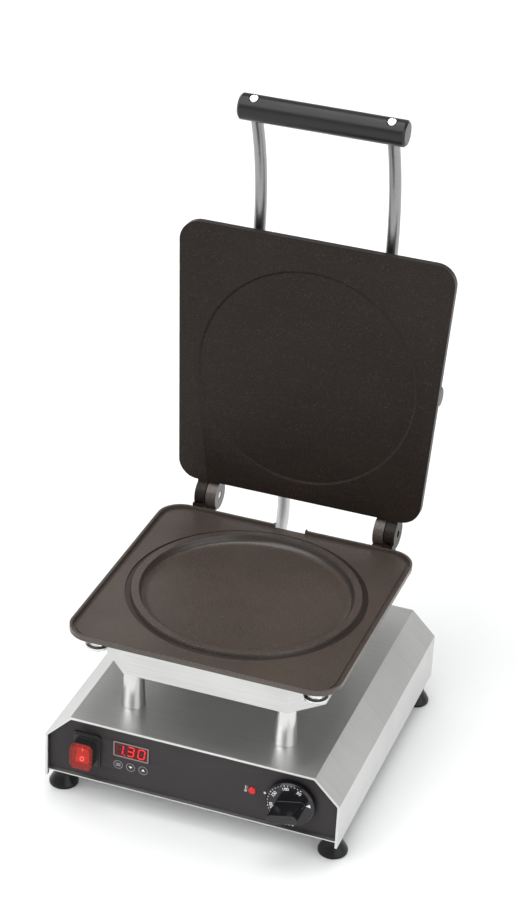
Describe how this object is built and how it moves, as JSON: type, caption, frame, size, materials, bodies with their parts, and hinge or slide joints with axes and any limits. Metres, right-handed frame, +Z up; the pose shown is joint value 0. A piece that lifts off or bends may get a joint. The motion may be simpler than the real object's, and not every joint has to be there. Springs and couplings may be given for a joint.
{
  "type": "quesadilla maker",
  "caption": "Countertop quesadilla maker: steel cabinet with timer, switch and thermostat, recessed lower griddle on legs, hinged upper griddle with a bar handle.",
  "frame": {"origin": "centre of the bounding box's bottom face, on the table under the feet, with the lid open", "axes": "+X towards the user's right, -Y towards the control panel at the front, +Z up"},
  "size_m": [0.3088, 0.3938, 0.6356],
  "materials": {
    "stainless": "brushed",
    "bright_metal": "polished",
    "coated_casting": "matte speckled non-stick",
    "fascia_coating": "matte",
    "black_plastic": "satin",
    "grip_plastic": "satin",
    "black_rubber": "matte",
    "red_rubber": "translucent, soft",
    "red_plastic": "gloss",
    "display_glass": "gloss",
    "circuit_board": "satin",
    "heater_sheath": "matte",
    "mineral_wool": "fibrous",
    "light_plastic": "matte"
  },
  "bodies": {
    "base": {"base_cover": "stainless", "base_floor": "stainless", "front_fascia": "fascia_coating", "rear_panel": "stainless", "foot_front_left": "black_rubber", "foot_front_right": "black_rubber", "foot_rear_left": "black_rubber", "foot_rear_right": "black_rubber", "foot_screws": "bright_metal", "switch_frame": "black_plastic", "switch_boot": "red_rubber", "switch_body": "black_plastic", "display_frame": "bright_metal", "display_window": "display_glass", "display_module": "black_plastic", "control_board": "circuit_board", "pilot_lamp": "red_plastic", "thermostat_body": "light_plastic", "terminal_block": "light_plastic", "overheat_limiter": "black_plastic", "mains_inlet": "black_plastic", "lower_gland": "bright_metal", "conduit": "bright_metal", "wire_tube": "stainless", "leg_front_left": "bright_metal", "leg_front_right": "bright_metal", "leg_rear_left": "bright_metal", "leg_rear_right": "bright_metal", "leg_bolts": "bright_metal", "lower_tray": "stainless", "lower_insulation": "mineral_wool", "lower_heater": "heater_sheath", "lower_griddle": "coated_casting", "lower_plate_pins": "bright_metal", "hinge_pins": "bright_metal"},
    "lid": {"upper_griddle": "coated_casting", "upper_hood": "stainless", "upper_insulation": "mineral_wool", "upper_heater": "heater_sheath", "hood_screws": "bright_metal", "handle_rod_left": "bright_metal", "handle_rod_right": "bright_metal", "rod_nuts": "bright_metal", "handle_grip": "grip_plastic", "grip_screws": "bright_metal", "upper_gland": "bright_metal", "hood_plug": "black_rubber"},
    "rocker": {"switch_rocker": "red_plastic"},
    "start_key": {"key_start": "black_plastic"},
    "down_key": {"key_down": "black_plastic"},
    "up_key": {"key_up": "black_plastic"},
    "knob": {"thermostat_knob": "black_plastic", "thermostat_shaft": "bright_metal"}
  },
  "joints": [
    {"name": "lid_hinge", "type": "hinge", "parent": "base", "child": "lid", "pos_m": [0, 0.12429, 0.1967], "axis": [1, 0, 0], "range_deg": [0, 92.9], "deforming": ["conduit"]},
    {"name": "thermostat_turn", "type": "hinge", "parent": "base", "child": "knob", "pos_m": [0.1018, -0.16391, 0.0592], "axis": [0, -1, 0], "range_deg": [-102, 164]},
    {"name": "power_switch", "type": "hinge", "parent": "base", "child": "rocker", "pos_m": [-0.1082, -0.16641, 0.0599], "axis": [1, 0, 0], "range_deg": [0, 14]},
    {"name": "start_press", "type": "slide", "parent": "base", "child": "start_key", "axis": [0, 1, 0], "range_m": [0, 0.0005], "stiffness_N_per_m": 400},
    {"name": "down_press", "type": "slide", "parent": "base", "child": "down_key", "axis": [0, 1, 0], "range_m": [0, 0.0005], "stiffness_N_per_m": 400},
    {"name": "up_press", "type": "slide", "parent": "base", "child": "up_key", "axis": [0, 1, 0], "range_m": [0, 0.0005], "stiffness_N_per_m": 400}
  ]
}
